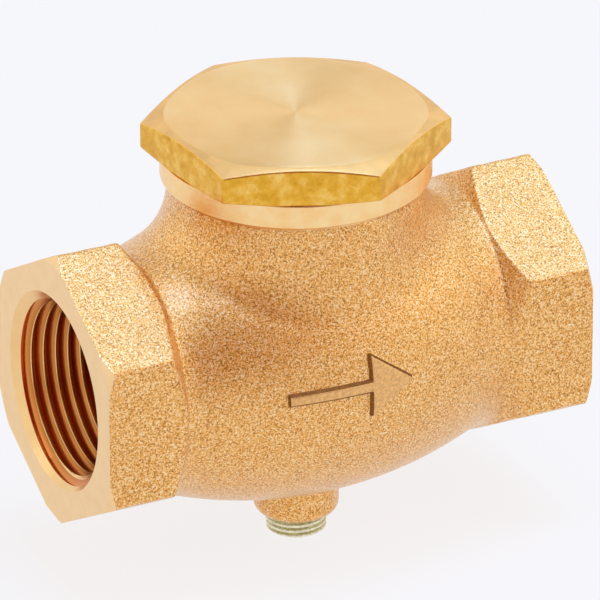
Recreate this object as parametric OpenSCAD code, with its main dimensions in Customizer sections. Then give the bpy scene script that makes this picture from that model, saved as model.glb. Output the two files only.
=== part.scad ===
// Spring-loaded lift check valve for 1 inch pipe, with a cast body and a hexagonal screw cap.
// The run lies along X with the flow towards +X, and the poppet lifts along +Z.
// The origin is on the run, where the inlet's thread starts behind its countersink.
// Every module is drawn round the middle of the valve, and in_frame() moves it to the origin.

/* [Run and ports] */
// Length of the body, face to face
body_len = 88.9; // [84:0.1:100]
// Hexagonal ends, across flats
end_af = 42.8; // [41:0.1:46]
// Length of the hexagonal ends along their flats
end_len = 14.3; // [12:0.1:17]
// Length taken off the corners at the outer face by the lathe
end_face_cut = 1.0; // [0.4:0.1:2]
// Length taken off the corners at the inner face
end_back_cut = 2.6; // [1:0.1:4]
// Bore of the pipe thread, at its crests
port_bore_d = 29.4; // [26:0.1:31]
// Depth of the threaded bore behind the countersink
port_depth = 17; // [14:0.1:19]
// Countersink, across its mouth
mouth_d = 33.9; // [32:0.1:36]

/* [Globe] */
// Largest diameter of the globe
globe_d = 52.1; // [50:0.1:56]
// Radius of the globe's long crown, along the run
crown_r = 75; // [60:1:120]
// Thickness of the cast wall
wall = 3.2; // [2.6:0.1:4]
// Width of the bare cast passage behind each thread
passage_d = 32; // [31:0.1:34]
// Length of the passage's cone from the thread into the globe
passage_cone = 8.5; // [6:0.1:10]
// Fillet between the globe and the hexagonal ends
end_fillet = 3; // [2:0.1:4]

/* [Neck and collar] */
// Diameter of the cast neck
neck_d = 42.8; // [41:0.1:46]
// Fillet between the neck and the globe, beside the run
neck_fillet = 9; // [5:0.1:9.5]
// Softer fillet between the neck and the globe, at the front and the back
neck_blend = 16; // [9:0.5:18]
// Diameter of the turned collar
collar_d = 45; // [44:0.1:48]
// Height of the turned collar
collar_h = 4.6; // [3:0.1:5]
// Chamfer under the collar
collar_cut = 0.7; // [0.3:0.1:1]
// Height of the collar's top over the run
collar_top = 34.8; // [34:0.1:38]
// Thread between the cap and the neck, taken at its mean diameter
cap_thread_d = 36; // [34:0.1:37]
// Upper chamber under the thread
chamber_d = 35; // [33:0.1:35.4]

/* [Seat and partition] */
// Height of the seat over the run
seat_top = 9.5; // [8:0.1:11]
// Height of the seat over the partition
seat_rise = 1.5; // [1:0.1:2.5]
// Thickness of the partition
web_t = 4.5; // [3.5:0.1:5]
// Bore of the seat
seat_bore_d = 23; // [20:0.1:24]
// Width of the seat's land
seat_land = 1.2; // [0.8:0.1:1.6]
// Distance from the cap's axis to the partition's upright walls
web_x = 19; // [18:0.1:20]
// Thickness of the partition's upright walls
web_wall = 3.5; // [3:0.1:4]
// Fillets of the partition
web_fillet = 5; // [2:0.1:6]

/* [Bottom boss and plug] */
// Diameter of the boss
boss_d = 14.4; // [13:0.1:17]
// Height of the boss's foot under the run
boss_drop = 31.8; // [30:0.1:35]
// Rounding of the boss's foot
boss_round = 2; // [0.5:0.1:2]
// Fillet between the boss and the globe
boss_fillet = 2; // [1:0.1:3]
// Thread of the pipe plug, taken at its mean diameter
plug_d = 10.2; // [8:0.1:10.3]
// Length of the pipe plug
plug_len = 7.8; // [6:0.1:8]
// Length of the plug that stands out of the boss
plug_out = 3.2; // [1:0.1:4]
// Depth of the tapped hole in the boss
boss_tap = 6.5; // [5.5:0.1:7]
// Drilled hole from the tapped hole into the lower chamber
drain_d = 6.8; // [4:0.1:7]
// Hexagonal socket of the plug, across flats
socket_af = 4.76; // [4:0.01:6]
// Depth of the plug's socket
socket_depth = 4; // [3:0.1:4.5]

/* [Cap] */
// Hexagonal head, across flats
cap_af = 44.45; // [43:0.05:50]
// Thickness of the head
cap_head = 6.7; // [6:0.1:10]
// Turn of the cap about its axis where the thread ends
cap_turn = -24; // [-30:1:30]
// Flat top inside the chamfer
cap_face_d = 42; // [38:0.1:43]
// Height of the top chamfer at the corners
cap_top_cut = 1.6; // [0.5:0.1:3]
// Height of the lower chamfer at the corners
cap_under_cut = 0.6; // [0.2:0.1:2]
// Length of the threaded skirt
skirt_len = 10.2; // [8:0.1:11]
// Spring pocket inside the skirt
pocket_d = 28.4; // [24:0.1:30]
// Metal over the spring pocket
pocket_roof = 6.5; // [5:0.1:7]
// Metal over the guide bore
guide_roof = 3.3; // [2.5:0.1:4]
// Thickness of the gasket in the collar
gasket_t = 1.2; // [0.8:0.1:2]
// Outer diameter of the gasket
gasket_d = 40.8; // [39:0.1:42]

/* [Poppet] */
// Diameter of the disc holder
holder_d = 28; // [26:0.1:29]
// Thickness of the holder over the soft disc
holder_t = 3.5; // [2.5:0.1:4]
// Depth of the holder's rim round the soft disc
rim_h = 1.7; // [1:0.1:2]
// Diameter of the soft disc
disc_d = 26; // [24.6:0.1:26.6]
// Thickness of the soft disc
disc_t = 2.5; // [2.1:0.1:4]
// Hub over the holder, which stops against the guide
hub_d = 12.4; // [11:0.1:13]
// Height of the hub
hub_h = 3; // [2:0.1:4]
// Guide stem
stem_d = 8; // [6:0.1:9]
// Threaded stud under the holder
stud_d = 5; // [4:0.1:6]
// Lift from the seat to the stop
lift = 6.5; // [5:0.1:7]
// Washer under the soft disc
washer_d = 16; // [13:0.1:18]
// Thickness of the washer
washer_t = 1.2; // [0.8:0.1:2]
// Nut on the stud, across flats
nut_af = 8; // [8:0.1:10]
// Thickness of the nut
nut_t = 4; // [3:0.1:5]

/* [Spring] */
// Wire of the return spring
wire_d = 1.3; // [0.8:0.1:1.6]
// Inner diameter of the return spring
spring_id = 14; // [13.6:0.1:16]
// Turns of the return spring
spring_turns = 6.5; // [4.5:0.5:7]

/* [Fits] */
// Radial clearance of the stem in its guide
guide_clear = 0.05; // [0.02:0.01:0.1]
// Clearance of the gasket and the soft disc in their recesses
recess_clear = 0.1; // [0.05:0.01:0.3]
// Clearance of each end of the spring
spring_clear = 0.05; // [0.02:0.01:0.2]
// Room left over the stem at full lift
stem_room = 0.5; // [0.3:0.1:1]

/* [Hidden] */
$fn = 96;

cast_brass = "#D3A468";
turned_brass = "#E3B45F";
spring_steel = "#B9BCC0";
zinc = "#B4B7A6";
ptfe = "#F2F0EA";
fibre = "#8A4A32";

// The lathe cuts of the hexagons start this far inside the flats, and cutters run this far past
hex_in = 0.3;
over = 0.5;

mouth_depth = (mouth_d - port_bore_d) / 2;
run_mid = body_len / 2 - mouth_depth;
thread_end = run_mid - port_depth;
end_inner = body_len / 2 - end_len;

globe_r = globe_d / 2;
crown_in = globe_r - crown_r;
neck_r = neck_d / 2;
boss_r = boss_d / 2;

web_top = seat_top - seat_rise;
web_mid = web_top - web_t / 2;

cap_top = collar_top + cap_head;
skirt_end = collar_top - skirt_len;
pocket_top = cap_top - pocket_roof;
guide_top = cap_top - guide_roof;
thread_run = 0.6;

disc_top = seat_top + disc_t;
holder_top = disc_top + holder_t;
hub_top = holder_top + hub_h;
guide_end = hub_top + lift;
stem_top = guide_top - lift - stem_room;
washer_bottom = seat_top - washer_t;
nut_bottom = washer_bottom - nut_t;
stud_past = 0.7;

// How far the fillet rings sink below the surfaces that they join, and how deep they reach
ring_sink = 0.3;
ring_root = 2.4;
// How far before each end its fillet leaves the globe
fillet_run = 2.2;

// Radius of the globe at a distance x from its middle
function globe_r_at(x) = crown_in + sqrt(crown_r * crown_r - x * x);

// Unit vector between a and b, a share t of the angle that lies between them
function between(a, b, t) =
    let (w = acos(a * b))
    (sin((1 - t) * w) * a + sin(t * w) * b) / sin(w);

// Centre of a ball of radius f that rolls round an upright cylinder r and rests on the globe
function ball_centre(r, f, phi) =
    let (c = r + f - ring_sink, x = c * cos(phi), y = c * sin(phi),
         rho = crown_in + sqrt(pow(crown_r + f - ring_sink, 2) - x * x))
    [x, y, sqrt(rho * rho - y * y)];

// Direction from that ball's centre to where it touches the globe
function globe_side(c) =
    let (rho = norm([c.y, c.z]), n = [c.x, rho - crown_in] / norm([c.x, rho - crown_in]))
    [-n.x, -n.y * c.y / rho, -n.y * c.z / rho];

// Section of the fillet ring at one angle: the ball's arc, then three points inside the casting
function ring_section(r, f, phi, arcs) =
    let (c = ball_centre(r, f, phi), out = [cos(phi), sin(phi), 0], side = globe_side(c),
         root = (r - ring_root) * out, foot = globe_r_at(root.x) - ring_root)
    concat([for (k = [0 : arcs]) c + f * between(-out, side, k / arcs)],
           [c + (f + ring_root) * side, root + [0, 0, sqrt(foot * foot - root.y * root.y)],
            root + [0, 0, c.z]]);

// Two triangles for each cell of a grid of n closed rings with m points each
function ring_faces(n, m) = [for (i = [0 : n - 1]) for (j = [0 : m - 1])
    let (a = i * m + j, b = i * m + (j + 1) % m, c = ((i + 1) % n) * m + (j + 1) % m,
         d = ((i + 1) % n) * m + j)
    for (f = [[a, d, c], [a, c, b]]) f];

module in_frame() translate([run_mid, 0, 0]) children();

// Turns a shape drawn along Z to lie along the run
module along_run() rotate([0, 90, 0]) children();

// Fillet ring where an upright cylinder of radius r stands on the globe, with a fillet that
// goes from f beside the run to f_front at the front and the back
module saddle_fillet(r, f, f_front, steps, arcs) {
    points = [for (i = [0 : steps - 1]) let (phi = 360 * i / steps)
        each ring_section(r, f + (f_front - f) * pow(sin(phi), 2), phi, arcs)];
    polyhedron(points, ring_faces(steps, arcs + 4));
}

// Half of the globe's outline, with an arc that climbs to the flats of each end
module globe_outline() {
    x0 = end_inner - fillet_run;
    r0 = globe_r_at(x0);
    intersection() {
        translate([crown_in, 0]) circle(crown_r, $fn = 720);
        translate([0, -end_inner - over]) square([globe_d, 2 * (end_inner + over)]);
    }
    for (s = [-1, 1]) scale([1, s]) difference() {
        translate([0, x0]) square([end_af / 2 - hex_in, end_inner + over - x0]);
        translate([r0 + end_fillet, x0]) circle(end_fillet);
    }
}

// One hexagonal end, drawn outwards along Z from its inner face
module hex_end() {
    corner_r = end_af / sqrt(3) + over;
    flat_r = end_af / 2 - hex_in;
    back = end_back_cut / (end_af / sqrt(3) - flat_r);
    face_r = end_af / sqrt(3) - end_face_cut * sqrt(3);
    intersection() {
        cylinder(h = end_len, d = end_af * 2 / sqrt(3), $fn = 6);
        rotate_extrude() polygon([[0, 0], [flat_r, 0], [corner_r, (corner_r - flat_r) * back],
            [corner_r, end_len - end_face_cut + over / sqrt(3)], [face_r, end_len], [0, end_len]]);
    }
}

// Outside of the casting, solid
module casting() {
    along_run() rotate_extrude() globe_outline();
    for (s = [0, 180]) rotate([0, 0, s]) translate([end_inner, 0, 0]) along_run() hex_end();
    cylinder(h = collar_top - over, r = neck_r);
    rotate_extrude() polygon([[0, collar_top], [collar_d / 2, collar_top],
        [collar_d / 2, collar_top - collar_h + collar_cut],
        [neck_r - over, collar_top - collar_h - over], [0, collar_top - collar_h - over]]);
    saddle_fillet(neck_r, neck_fillet, neck_blend, 60, 7);
    mirror([0, 0, 1]) {
        saddle_fillet(boss_r, boss_fillet, boss_fillet, 36, 4);
        translate([0, 0, globe_r / 2]) rotate_extrude() boss_outline();
    }
}

// Half of the boss's outline, drawn outwards from inside the globe, with a rounded foot
module boss_outline() {
    h = boss_drop - globe_r / 2;
    square([boss_r - boss_round, h]);
    square([boss_r, h - boss_round]);
    translate([boss_r - boss_round, h - boss_round]) circle(boss_round);
}

// Space that the metal would fill if the casting had only its wall and no partition
module globe_space() {
    along_run() rotate_extrude() intersection() {
        translate([crown_in, 0]) circle(crown_r - wall, $fn = 720);
        polygon([[0, -thread_end], [passage_d / 2, -thread_end],
            [passage_d / 2 + passage_cone, passage_cone - thread_end],
            [passage_d / 2 + passage_cone, thread_end - passage_cone],
            [passage_d / 2, thread_end], [0, thread_end]]);
    }
}

// Side view of what lies over the partition and beyond its outlet shoulder
module over_partition() {
    far = body_len;
    shoulder = web_x + web_wall;
    difference() {
        translate([-web_x, web_top]) square(far);
        translate([-web_x, web_top]) difference() {
            square(web_fillet);
            translate([web_fillet, web_fillet]) circle(web_fillet);
        }
    }
    translate([shoulder, -far]) square([far, 2 * far]);
    translate([shoulder - web_fillet, web_top - web_fillet]) difference() {
        square(web_fillet + over);
        circle(web_fillet);
        translate([-over, -over]) square([over, web_fillet + 2 * over]);
    }
}

// A side view as a block across the run
module across_run() rotate([90, 0, 0]) translate([0, 0, -globe_d]) linear_extrude(2 * globe_d)
    children();

module upper_chamber() {
    intersection() {
        globe_space();
        across_run() over_partition();
    }
    translate([0, 0, web_top + web_fillet / 2])
        cylinder(h = skirt_end - thread_run - web_top - web_fillet / 2, d = chamber_d);
}

module lower_chamber() {
    intersection() {
        globe_space();
        across_run() translate([0, 2 * web_mid]) rotate(180) over_partition();
    }
}

// Threaded bore and countersink of one end, drawn inwards along Z from its face
module port() {
    translate([0, 0, -over]) cylinder(h = mouth_depth + port_depth + over, d = port_bore_d);
    translate([0, 0, -over])
        cylinder(h = mouth_depth + over, d1 = mouth_d + 2 * over, d2 = port_bore_d);
}

module valve_body() {
    seat_r = seat_bore_d / 2;
    color(cast_brass) difference() {
        union() {
            difference() {
                casting();
                upper_chamber();
                lower_chamber();
            }
            translate([0, 0, web_top - over]) cylinder(h = seat_rise + over,
                r1 = seat_r + seat_land + seat_rise + over, r2 = seat_r + seat_land);
        }
        for (s = [0, 180]) rotate([0, 0, s])
            translate([-body_len / 2, 0, 0]) along_run() port();
        cylinder(h = seat_top + over, d = seat_bore_d);
        translate([0, 0, skirt_end - thread_run])
            cylinder(h = skirt_len + thread_run + over, d = cap_thread_d);
        translate([0, 0, collar_top - gasket_t])
            cylinder(h = gasket_t + over, d = gasket_d + 2 * recess_clear);
        translate([0, 0, -boss_drop - over]) cylinder(h = boss_tap + over, d = plug_d);
        translate([0, 0, -boss_drop]) cylinder(h = boss_drop - globe_r / 2, d = drain_d);
    }
}

module cap_head() {
    corner_r = cap_af / sqrt(3);
    slope = cap_top_cut / (corner_r - cap_face_d / 2);
    under = cap_under_cut / (corner_r - collar_d / 2);
    intersection() {
        rotate(cap_turn) cylinder(h = cap_head, r = corner_r, $fn = 6);
        rotate_extrude() polygon([[0, 0], [collar_d / 2, 0], [corner_r + over, cap_under_cut
            + over * under], [corner_r + over, cap_head - cap_top_cut - over * slope],
            [cap_face_d / 2, cap_head], [0, cap_head]]);
    }
}

module bonnet_cap() {
    skirt_cut = 1;
    color(turned_brass) difference() {
        union() {
            translate([0, 0, collar_top]) cap_head();
            difference() {
                translate([0, 0, skirt_end]) rotate_extrude() polygon([[0, 0],
                    [cap_thread_d / 2 - skirt_cut, 0], [cap_thread_d / 2, skirt_cut],
                    [cap_thread_d / 2, skirt_len + over], [0, skirt_len + over]]);
                translate([0, 0, skirt_end - over])
                    cylinder(h = pocket_top - skirt_end + over, d = pocket_d);
            }
            translate([0, 0, guide_end]) cylinder(h = cap_top - guide_end - over, d = hub_d);
        }
        translate([0, 0, collar_top]) difference() {
            cylinder(h = pocket_top - collar_top, d = pocket_d);
            cylinder(h = pocket_top - collar_top, d = hub_d);
        }
        translate([0, 0, guide_end - over])
            cylinder(h = guide_top - guide_end + over, d = stem_d + 2 * guide_clear);
    }
}

module cap_gasket() {
    color(fibre) translate([0, 0, collar_top - gasket_t]) difference() {
        cylinder(h = gasket_t, d = gasket_d);
        translate([0, 0, -over])
            cylinder(h = gasket_t + 2 * over, d = cap_thread_d + 2 * recess_clear);
    }
}

module disc_holder() {
    stem_cut = 0.6;
    color(turned_brass) {
        difference() {
            translate([0, 0, disc_top - rim_h]) cylinder(h = holder_t + rim_h, d = holder_d);
            translate([0, 0, disc_top - rim_h - over])
                cylinder(h = rim_h + over, d = disc_d + 2 * recess_clear);
        }
        translate([0, 0, holder_top - over]) cylinder(h = hub_h + over, d = hub_d);
        translate([0, 0, hub_top - over]) rotate_extrude() polygon([[0, 0], [stem_d / 2, 0],
            [stem_d / 2, stem_top - hub_top + over - stem_cut],
            [stem_d / 2 - stem_cut, stem_top - hub_top + over], [0, stem_top - hub_top + over]]);
        translate([0, 0, nut_bottom - stud_past])
            cylinder(h = disc_top - nut_bottom + stud_past + over, d = stud_d);
    }
}

module seat_disc() {
    color(ptfe) translate([0, 0, seat_top]) difference() {
        cylinder(h = disc_t, d = disc_d);
        translate([0, 0, -over]) cylinder(h = disc_t + 2 * over, d = stud_d);
    }
}

module disc_washer() {
    color(turned_brass) translate([0, 0, washer_bottom]) difference() {
        cylinder(h = washer_t, d = washer_d);
        translate([0, 0, -over]) cylinder(h = washer_t + 2 * over, d = stud_d);
    }
}

module disc_nut() {
    corner_r = nut_af / sqrt(3);
    cut = 0.4;
    color(turned_brass) translate([0, 0, nut_bottom]) difference() {
        intersection() {
            cylinder(h = nut_t, r = corner_r, $fn = 6);
            rotate_extrude() polygon([[0, 0], [nut_af / 2 - cut / 2, 0], [corner_r + cut, 2 * cut],
                [corner_r + cut, nut_t], [0, nut_t]]);
        }
        translate([0, 0, -over]) cylinder(h = nut_t + 2 * over, d = stud_d);
    }
}

// Height of the wire's middle over the holder after a number of turns: the turns at both
// ends lie almost closed, and the turns between them share the rest of the height
function coil_z(turn, height) =
    let (closed = 1.12 * wire_d, open = (height - wire_d - 2 * closed) / (spring_turns - 2))
    wire_d / 2 + closed * min(turn, 1) + open * min(max(turn - 1, 0), spring_turns - 2)
    + closed * max(turn - spring_turns + 1, 0);

module return_spring() {
    sides = 8;
    per_turn = 16;
    rings = spring_turns * per_turn;
    coil_r = (spring_id + wire_d) / 2;
    bottom = holder_top + spring_clear;
    height = pocket_top - spring_clear - bottom;
    points = [for (i = [0 : rings]) for (k = [0 : sides - 1])
        let (a = 360 * i / per_turn, b = 360 * (k + 0.5) / sides,
             r = coil_r + wire_d / 2 * cos(b), z = wire_d / 2 * sin(b))
        [r * cos(a), r * sin(a), bottom + coil_z(i / per_turn, height) + z]];
    walls = [for (i = [0 : rings - 1]) for (k = [0 : sides - 1])
        let (a = i * sides + k, b = i * sides + (k + 1) % sides, c = b + sides, d = a + sides)
        for (f = [[a, d, c], [a, c, b]]) f];
    caps = [[for (k = [0 : sides - 1]) k], [for (k = [0 : sides - 1]) (rings + 1) * sides - 1 - k]];
    color(spring_steel) polyhedron(points, concat(walls, caps));
}

module port_plug() {
    cut = 0.7;
    r = plug_d / 2;
    color(zinc) translate([0, 0, -boss_drop - plug_out]) difference() {
        rotate_extrude() polygon([[0, 0], [r - cut, 0], [r, cut], [r, plug_len - cut],
            [r - cut, plug_len], [0, plug_len]]);
        translate([0, 0, -over]) cylinder(h = socket_depth + over, r = socket_af / sqrt(3), $fn = 6);
    }
}

in_frame() valve_body();
in_frame() bonnet_cap();
in_frame() cap_gasket();
in_frame() disc_holder();
in_frame() seat_disc();
in_frame() disc_washer();
in_frame() disc_nut();
in_frame() return_spring();
in_frame() port_plug();
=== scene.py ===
"""Looks of the lift check valve: cast brass body, turned screw cap, pipe plug and spring.

Shapes are worked out in millimetres round the middle of the valve, with the run along X and
the cap along +Z, and in_row_frame() takes them to the frame's metres. The frame's own meshes
keep the poppet, its disc, washer and nut, and the gasket, which only get their materials.
"""
import math

import bmesh
import bpy
import numpy as np
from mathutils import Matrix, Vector


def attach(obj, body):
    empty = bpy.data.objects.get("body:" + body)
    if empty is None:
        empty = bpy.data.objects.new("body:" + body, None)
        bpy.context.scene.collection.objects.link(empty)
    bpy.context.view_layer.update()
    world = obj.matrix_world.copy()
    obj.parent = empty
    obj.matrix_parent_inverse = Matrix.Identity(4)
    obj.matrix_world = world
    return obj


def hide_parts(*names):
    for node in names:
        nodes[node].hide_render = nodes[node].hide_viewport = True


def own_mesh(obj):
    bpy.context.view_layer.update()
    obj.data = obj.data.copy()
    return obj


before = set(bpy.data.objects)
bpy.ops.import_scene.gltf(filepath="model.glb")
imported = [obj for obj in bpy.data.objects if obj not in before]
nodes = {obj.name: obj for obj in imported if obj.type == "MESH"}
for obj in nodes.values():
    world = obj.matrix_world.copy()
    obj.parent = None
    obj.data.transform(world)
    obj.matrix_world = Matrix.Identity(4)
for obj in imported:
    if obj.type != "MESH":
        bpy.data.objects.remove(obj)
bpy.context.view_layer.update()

# Sizes in millimetres, with heights and places from the valve's middle
RUN_MID = 42.2  # the valve's middle along the run, from the frame's origin
HALF_LEN = 44.45  # half of the length, face to face
GLOBE_R, CROWN_R = 26.05, 75.0  # the globe round the run, and its long crown along the run
CROWN_IN = GLOBE_R - CROWN_R  # where the crown's centre lies, from the run's axis
NECK_R, NECK_END = 21.4, 31.0  # the cast neck, which ends inside the collar
NECK_ROLL, NECK_ROLL_FRONT = 9.0, 14.0  # the neck's fillet beside the run, and at the front
HUB_R, HUB_ROLL = 20.9, 14.0  # the straight necks behind the hexagons, and their fillet
HUB_FROM, HUB_TO = 20, 36  # where each hub starts, in the globe, and ends, in its hexagon
HEX_FLAT = 21.4  # half of the hexagonal ends, across flats
HEX_ROUND = 1.1  # rounding of the cast edges
BACK_ROUND, END_ROLL = 0.5, 1.2  # each hexagon's back: its edge, and its fillet on the hub
HUB_COSINE, END_COSINE = 0.93, 0.55  # between the normals, where a hub and an end begin
FACE_CUT_R = 22.98  # radius that the lathe's chamfer leaves on each end's face
BACK_CUT_R, BACK_CUT_X = 21.1, 30.15  # a circle on the cone at each hexagon's back
COLLAR_R, COLLAR_FOOT, COLLAR_TOP = 22.5, 30.95, 34.8
PORT_START = HALF_LEN - 2.25  # where the thread starts, at the bottom of the countersink
PORT_PITCH, PORT_DEPTH, PORT_MINOR = 2.209, 1.767, 14.7  # PORT_MINOR is the crests' radius
PORT_END = 25.3  # inner end of each threaded bore
TAPER = 1 / 32  # how the pipe thread's radius draws in with depth
MOUTH_R = 16.95  # the countersink at the face
BOSS_R, BOSS_FOOT, BOSS_ROUND = 7.2, 31.8, 2  # BOSS_FOOT is the depth under the axis
PLUG_R, PLUG_PITCH, PLUG_LEN, PLUG_OUT = 5.1, 0.941, 7.8, 3.2
SOCKET_FLAT = 2.38  # half of the plug's hexagonal socket, across flats
CAP_FLAT, CAP_TURN, CAP_TOP = 22.225, math.radians(-24), 41.5
CAP_THREAD_R, GASKET_R, GASKET_FOOT = 18.0, 20.5, 33.6
SPRING_POCKET_TOP = 35.0
NOWHERE = 99.0  # a distance that leaves a shape out of a union

# The camera, with its distances in metres
CAMERA_TURN, CAMERA_RISE, CAMERA_AWAY = math.radians(-26.52), math.radians(26.20), 1.535
AIM_RIGHT, AIM_UP = 0.00068, 0.00624  # the middle of the picture, from the valve's middle


# Meshes from arrays

def in_row_frame(points):
    """Points in millimetres round the valve's middle, in metres from the frame's origin."""
    return (np.asarray(points, float) + (RUN_MID, 0, 0)) / 1000


def piece(name, points, faces, finishes, face_finish=None):
    """A mesh object from points in millimetres; its faces are turned outwards by the sign of
    the volume that they enclose."""
    points = in_row_frame(points).reshape(-1, 3)
    loops = np.concatenate([np.asarray(f).ravel() for f in faces])
    sizes = np.concatenate([np.full(len(f), np.asarray(f).shape[1]) for f in faces])
    starts = np.concatenate([[0], np.cumsum(sizes)[:-1]])
    first = points[loops[starts]]
    volume = 0.0
    for step in (1, 2):
        keep = sizes > step + 1
        second = points[loops[starts[keep] + step]]
        third = points[loops[starts[keep] + step + 1]]
        volume += np.einsum("ij,ij->", first[keep], np.cross(second, third))
    mesh = bpy.data.meshes.new(name)
    mesh.vertices.add(len(points))
    mesh.vertices.foreach_set("co", points.astype(np.float32).ravel())
    mesh.loops.add(len(loops))
    mesh.loops.foreach_set("vertex_index", loops.astype(np.int32))
    mesh.polygons.add(len(sizes))
    mesh.polygons.foreach_set("loop_start", starts.astype(np.int32))
    if face_finish is not None:
        mesh.polygons.foreach_set("material_index", np.asarray(face_finish, np.int32))
    mesh.update(calc_edges=True)
    if volume < 0:
        mesh.flip_normals()
    for finish in finishes:
        mesh.materials.append(finish)
    obj = bpy.data.objects.new(name, mesh)
    bpy.context.scene.collection.objects.link(obj)
    return obj


def closed_grid(grid):
    """Points and faces of a grid of rows whose columns close on themselves: a quad for each
    cell, and a fan from each end row to its mean point."""
    rows, columns = grid.shape[:2]
    index = np.arange(rows * columns).reshape(rows, columns)
    beside = np.roll(index, -1, axis=1)
    quads = np.stack([index[:-1], beside[:-1], beside[1:], index[1:]], -1).reshape(-1, 4)
    first, last = rows * columns, rows * columns + 1
    fans = np.concatenate([
        np.stack([beside[0], index[0], np.full(columns, first)], -1),
        np.stack([index[-1], beside[-1], np.full(columns, last)], -1)])
    points = np.concatenate([grid.reshape(-1, 3), [grid[0].mean(0), grid[-1].mean(0)]])
    return points, (quads, fans)


def lathe(name, profile, columns, finishes, axis="Z", row_finish=None):
    """A turned solid: each (radius, height) of the profile is carried round the axis, to
    (radius cos turn, radius sin turn, height)."""
    profile = np.asarray(profile, float)
    turn = np.linspace(0, 2 * np.pi, columns, endpoint=False)
    radius, height = profile[:, :1], np.repeat(profile[:, 1:], columns, axis=1)
    a, b = radius * np.cos(turn), radius * np.sin(turn)
    grid = np.stack([a, b, height] if axis == "Z" else [height, a, b], -1)
    points, faces = closed_grid(grid)
    face_finish = None
    if row_finish is not None:
        face_finish = np.concatenate([np.repeat(row_finish, columns),
                                      np.repeat([row_finish[0], row_finish[-1]], columns)])
    return piece(name, points, faces, finishes, face_finish)


def soften(profile, cut, steps):
    """Rounds each inner corner of a profile of (..., points, 2) by a curve that leaves its
    sides at the distance cut: point(t) = (1-t)^2 a + 2t(1-t) corner + t^2 b."""
    before, corner, after = profile[..., :-2, :], profile[..., 1:-1, :], profile[..., 2:, :]
    to_before, to_after = before - corner, after - corner
    len_before = np.linalg.norm(to_before, axis=-1, keepdims=True)
    len_after = np.linalg.norm(to_after, axis=-1, keepdims=True)
    reach = np.minimum(np.asarray(cut)[..., None], 0.45 * np.minimum(len_before, len_after))
    a = corner + to_before / len_before * reach
    b = corner + to_after / len_after * reach
    t = np.linspace(0, 1, steps + 1)[:, None]
    a, corner, b = a[..., None, :], corner[..., None, :], b[..., None, :]
    curve = (1 - t) ** 2 * a + 2 * t * (1 - t) * corner + t ** 2 * b
    curve = curve.reshape(curve.shape[:-3] + (-1, 2))
    return np.concatenate([profile[..., :1, :], curve, profile[..., -1:, :]], axis=-2)


def combine(base, operation, *others):
    """The base after a Boolean with each other solid, which is then thrown away."""
    for other in others:
        change = base.modifiers.new(other.name, "BOOLEAN")
        change.operation, change.object, change.solver = operation, other, "MANIFOLD"
    evaluated = base.evaluated_get(bpy.context.evaluated_depsgraph_get())
    mesh = bpy.data.meshes.new_from_object(evaluated)
    base.modifiers.clear()
    base.data = mesh
    for other in others:
        bpy.data.objects.remove(other)
    return base


def move_points(obj, rule):
    """Moves an object's points by a rule for an array of points in metres."""
    spots = np.zeros(len(obj.data.vertices) * 3)
    obj.data.vertices.foreach_get("co", spots)
    spots = np.asarray(rule(spots.reshape(-1, 3)))
    obj.data.vertices.foreach_set("co", spots.astype(np.float32).ravel())
    obj.data.update()


def shade(obj, sharp):
    """Smooth shading, with edges sharper than the angle in degrees kept as edges."""
    obj.data.polygons.foreach_set("use_smooth", np.ones(len(obj.data.polygons), bool))
    obj.data.set_sharp_from_angle(angle=math.radians(sharp))


# Materials

def node(tree, kind, inputs=None, **settings):
    """One shader node, with its settings, and each input as a value or as a link."""
    made = tree.nodes.new(kind)
    for key, value in settings.items():
        setattr(made, key, value)
    for key, value in (inputs or {}).items():
        if isinstance(value, bpy.types.NodeSocket):
            tree.links.new(value, made.inputs[key])
        else:
            made.inputs[key].default_value = value
    return made


def noise(tree, size_mm, detail=2.0, stretch=(1, 1, 1)):
    """Noise whose grains measure about size_mm, on the object's own coordinates."""
    place = node(tree, "ShaderNodeTexCoord").outputs["Object"]
    if stretch != (1, 1, 1):
        place = node(tree, "ShaderNodeMapping", {"Vector": place, "Scale": stretch}).outputs[0]
    return node(tree, "ShaderNodeTexNoise", {"Vector": place, "Scale": 1000 / size_mm,
                                            "Detail": detail, "Roughness": 0.55}).outputs["Fac"]


def ramp(tree, factor, stops):
    """Colour ramp through (position, colour) stops."""
    made = node(tree, "ShaderNodeValToRGB", {"Fac": factor})
    elements = made.color_ramp.elements
    while len(elements) < len(stops):
        elements.new(0.5)
    for element, (position, colour) in zip(elements, stops):
        element.position, element.color = position, (*colour, 1)
    return made.outputs["Color"]


def levels(tree, value, low, high, to_low, to_high):
    """A value from low..high carried to to_low..to_high, and held there."""
    return node(tree, "ShaderNodeMapRange", {"Value": value, "From Min": low, "From Max": high,
                "To Min": to_low, "To Max": to_high}).outputs["Result"]


def arithmetic(tree, operation, a, b=0.0):
    """One Math node, with each side as a value or as a link."""
    made = node(tree, "ShaderNodeMath", operation=operation)
    for socket, value in zip(made.inputs, (a, b)):
        if isinstance(value, bpy.types.NodeSocket):
            tree.links.new(value, socket)
        else:
            socket.default_value = value
    return made.outputs[0]


def blend(tree, factor, a, b):
    """Mix of two colours."""
    made = node(tree, "ShaderNodeMix", data_type="RGBA")
    for socket, value in ((made.inputs[0], factor), (made.inputs[6], a), (made.inputs[7], b)):
        if isinstance(value, bpy.types.NodeSocket):
            tree.links.new(value, socket)
        else:
            socket.default_value = value if isinstance(value, float) else (*value, 1)
    return made.outputs[2]


def bump(tree, height, distance_mm, strength, under=None):
    """Normal of a relief whose height is a factor of distance_mm, over another relief."""
    made = node(tree, "ShaderNodeBump", {"Height": height, "Distance": distance_mm / 1000,
                                        "Strength": strength})
    if under is not None:
        tree.links.new(under, made.inputs["Normal"])
    return made.outputs["Normal"]


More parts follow.
